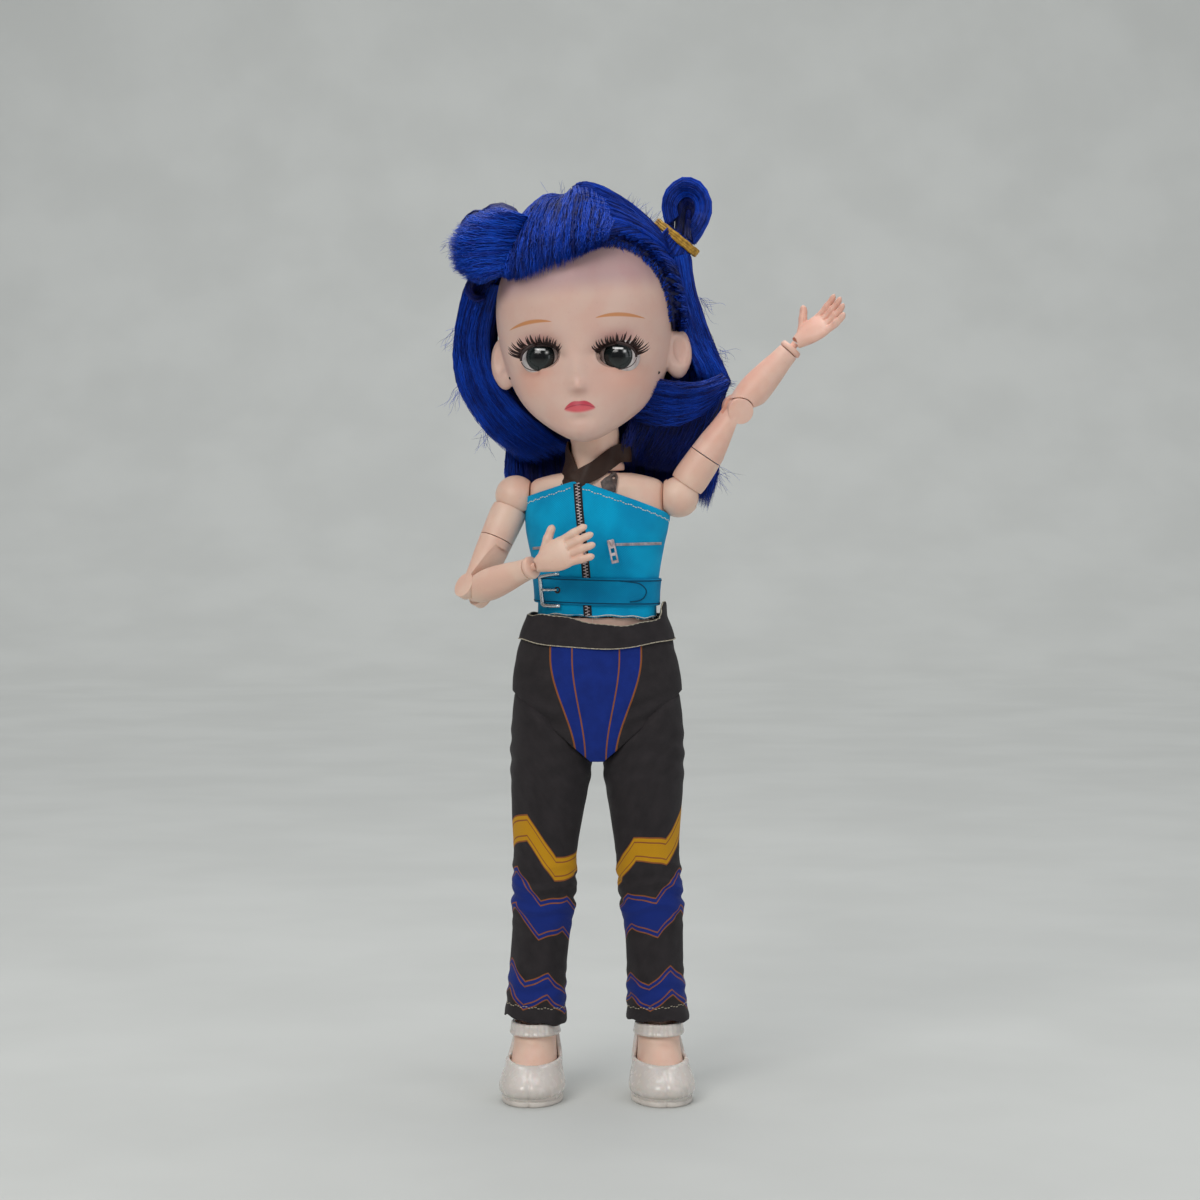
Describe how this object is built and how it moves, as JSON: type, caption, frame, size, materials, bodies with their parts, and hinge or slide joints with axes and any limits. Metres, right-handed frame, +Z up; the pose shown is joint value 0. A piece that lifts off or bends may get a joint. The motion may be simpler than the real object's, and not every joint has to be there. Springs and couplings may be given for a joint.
{
  "type": "ball jointed doll",
  "caption": "Standing ball jointed doll with turning, bending limbs, blue hair in loops, halter top with belt, leggings and strapped shoes.",
  "frame": {"origin": "on the ground under the middle of the doll", "axes": "+Z up; the doll faces -Y and its left side is at +X"},
  "size_m": [0.129, 0.0714, 0.2973],
  "materials": {
    "skin": "satin",
    "eye": "gloss",
    "lash": "matte",
    "hair": "satin",
    "hair_elastic": "matte",
    "top_cloth": "matte",
    "legging_cloth": "matte",
    "ribbon": "satin",
    "joint_pin": "satin",
    "shoe_vinyl": "gloss"
  },
  "bodies": {
    "pelvis": {"pelvis": "skin", "waistband": "legging_cloth", "leggings_hips": "legging_cloth"},
    "chest": {"chest_front": "skin", "chest_back": "skin", "waist_axle": "skin", "halter_top": "top_cloth", "belt": "top_cloth", "halter_strap_left": "ribbon", "halter_strap_right": "ribbon"},
    "neck": {"neck": "skin"},
    "head": {"head_face": "skin", "head_back": "skin", "head_socket": "skin", "eye_left": "eye", "eye_right": "eye", "lash_left": "lash", "lash_right": "lash", "hair_cap": "hair", "hair_fringe": "hair", "hair_loop_left": "hair", "hair_loop_right": "hair", "hair_band_left": "hair_elastic", "hair_band_right": "hair_elastic", "hair_tail_left": "hair", "hair_tail_right": "hair"},
    "shoulder_left": {"shoulder_ball_left": "skin"},
    "upper_arm_left": {"upper_arm_left": "skin"},
    "arm_sleeve_left": {"arm_sleeve_left": "skin", "elbow_pin_left": "joint_pin"},
    "forearm_left": {"forearm_left": "skin"},
    "wrist_left": {"wrist_left": "skin"},
    "hand_left": {"hand_left": "skin"},
    "shoulder_right": {"shoulder_ball_right": "skin"},
    "upper_arm_right": {"upper_arm_right": "skin"},
    "arm_sleeve_right": {"arm_sleeve_right": "skin", "elbow_pin_right": "joint_pin"},
    "forearm_right": {"forearm_right": "skin"},
    "wrist_right": {"wrist_right": "skin"},
    "hand_right": {"hand_right": "skin"},
    "hip_left": {"hip_ball_left": "skin"},
    "thigh_top_left": {"thigh_top_left": "skin"},
    "thigh_left": {"thigh_left": "skin", "knee_pin_left": "joint_pin", "leggings_thigh_left": "legging_cloth"},
    "shin_left": {"shin_left": "skin", "ankle_ball_left": "skin", "leggings_shin_left": "legging_cloth"},
    "foot_left": {"foot_left": "skin", "shoe_left": "shoe_vinyl"},
    "hip_right": {"hip_ball_right": "skin"},
    "thigh_top_right": {"thigh_top_right": "skin"},
    "thigh_right": {"thigh_right": "skin", "knee_pin_right": "joint_pin", "leggings_thigh_right": "legging_cloth"},
    "shin_right": {"shin_right": "skin", "ankle_ball_right": "skin", "leggings_shin_right": "legging_cloth"},
    "foot_right": {"foot_right": "skin", "shoe_right": "shoe_vinyl"}
  },
  "joints": [
    {"name": "waist_turn", "type": "hinge", "parent": "pelvis", "child": "chest", "pos_m": [-0.01578, -0.00128, 0.15591], "axis": [0, 0, 1], "range_deg": [-35, 45]},
    {"name": "neck_turn", "type": "hinge", "parent": "chest", "child": "neck", "pos_m": [-0.01578, -0.00128, 0.20231], "axis": [-0.0608, 0.0053, 0.9981], "range_deg": [-79, 81], "deforming": ["halter_strap_left", "halter_strap_right"]},
    {"name": "head_nod", "type": "hinge", "parent": "neck", "child": "head", "pos_m": [-0.01712, -0.00116, 0.22427], "axis": [0.9927, -0.1044, 0.061], "range_deg": [-9, 9], "deforming": ["hair_tail_left", "hair_tail_right"]},
    {"name": "shoulder_swing_left", "type": "hinge", "parent": "chest", "child": "shoulder_left", "pos_m": [0.01062, -0.00359, 0.19471], "axis": [-0.9962, 0.0872, 0], "range_deg": [-240, 0]},
    {"name": "arm_raise_left", "type": "hinge", "parent": "shoulder_left", "child": "upper_arm_left", "pos_m": [0.01062, -0.00359, 0.19471], "axis": [0.0872, 0.9962, 0], "range_deg": [-14, 54]},
    {"name": "arm_turn_left", "type": "hinge", "parent": "upper_arm_left", "child": "arm_sleeve_left", "pos_m": [0.01925, -0.00435, 0.20756], "axis": [-0.5571, 0.0487, -0.829], "range_deg": [-160, 20]},
    {"name": "elbow_left", "type": "hinge", "parent": "arm_sleeve_left", "child": "forearm_left", "pos_m": [0.02956, -0.00525, 0.2229], "axis": [-0.2006, 0.9608, 0.1913], "range_deg": [-8, 112]},
    {"name": "wrist_turn_left", "type": "hinge", "parent": "forearm_left", "child": "wrist_left", "pos_m": [0.04582, -0.0055, 0.24122], "axis": [-0.6638, 0.0103, -0.7478], "range_deg": [-110, 70]},
    {"name": "hand_bend_left", "type": "hinge", "parent": "wrist_left", "child": "hand_left", "pos_m": [0.04828, -0.00554, 0.24399], "axis": [0.058, 0.9976, -0.0377], "range_deg": [-31, 19]},
    {"name": "shoulder_swing_right", "type": "hinge", "parent": "chest", "child": "shoulder_right", "pos_m": [-0.04218, 0.00103, 0.19471], "axis": [-0.9962, 0.0872, 0], "range_deg": [-20, 63]},
    {"name": "arm_raise_right", "type": "hinge", "parent": "shoulder_right", "child": "upper_arm_right", "pos_m": [-0.04218, 0.00103, 0.19471], "axis": [0.0842, 0.9623, -0.2588], "range_deg": [-2, 66]},
    {"name": "arm_turn_right", "type": "hinge", "parent": "upper_arm_right", "child": "arm_sleeve_right", "pos_m": [-0.04829, -0.00217, 0.18083], "axis": [-0.3941, -0.2064, -0.8956], "range_deg": [-18, 138]},
    {"name": "elbow_right", "type": "hinge", "parent": "arm_sleeve_right", "child": "forearm_right", "pos_m": [-0.05558, -0.00599, 0.16426], "axis": [-0.675, -0.5964, 0.4345], "range_deg": [-116, 4]},
    {"name": "wrist_turn_right", "type": "hinge", "parent": "forearm_right", "child": "wrist_right", "pos_m": [-0.03761, -0.02085, 0.17177], "axis": [0.7334, -0.6067, 0.3066], "range_deg": [-120, 60]},
    {"name": "hand_bend_right", "type": "hinge", "parent": "wrist_right", "child": "hand_right", "pos_m": [-0.0349, -0.0231, 0.17291], "axis": [-0.6249, -0.7793, -0.0472], "range_deg": [-33, 17]},
    {"name": "hip_swing_left", "type": "hinge", "parent": "pelvis", "child": "hip_left", "pos_m": [-0.00178, -0.00128, 0.12331], "axis": [-1, 0, 0], "range_deg": [-20, 80], "deforming": ["leggings_hips", "leggings_thigh_left"]},
    {"name": "hip_spread_left", "type": "hinge", "parent": "hip_left", "child": "thigh_top_left", "pos_m": [-0.00178, -0.00128, 0.12331], "axis": [0, -1, 0], "range_deg": [-3.5, 31.5]},
    {"name": "thigh_turn_left", "type": "hinge", "parent": "thigh_top_left", "child": "thigh_left", "pos_m": [-0.00075, -0.00128, 0.10634], "axis": [0.061, 0, -0.9981], "range_deg": [-55, 30]},
    {"name": "knee_left", "type": "hinge", "parent": "thigh_left", "child": "shin_left", "pos_m": [0.00176, -0.00128, 0.06542], "axis": [0.9943, 0.0872, 0.0608], "range_deg": [0, 90], "deforming": ["leggings_shin_left"]},
    {"name": "ankle_left", "type": "hinge", "parent": "shin_left", "child": "foot_left", "pos_m": [0.00432, -0.00128, 0.0235], "axis": [0.9962, 0.0872, 0], "range_deg": [-15, 15]},
    {"name": "hip_swing_right", "type": "hinge", "parent": "pelvis", "child": "hip_right", "pos_m": [-0.02978, -0.00128, 0.12331], "axis": [-1, 0, 0], "range_deg": [-20, 80], "deforming": ["leggings_thigh_right"]},
    {"name": "hip_spread_right", "type": "hinge", "parent": "hip_right", "child": "thigh_top_right", "pos_m": [-0.02978, -0.00128, 0.12331], "axis": [0, 1, 0], "range_deg": [-3.5, 31.5]},
    {"name": "thigh_turn_right", "type": "hinge", "parent": "thigh_top_right", "child": "thigh_right", "pos_m": [-0.03082, -0.00128, 0.10634], "axis": [0.061, 0, 0.9981], "range_deg": [-56, 29]},
    {"name": "knee_right", "type": "hinge", "parent": "thigh_right", "child": "shin_right", "pos_m": [-0.03332, -0.00128, 0.06542], "axis": [0.9957, -0.0698, -0.0609], "range_deg": [0, 90], "deforming": ["leggings_shin_right"]},
    {"name": "ankle_right", "type": "hinge", "parent": "shin_right", "child": "foot_right", "pos_m": [-0.03589, -0.00128, 0.0235], "axis": [0.9976, -0.0698, 0], "range_deg": [-15, 15]}
  ]
}
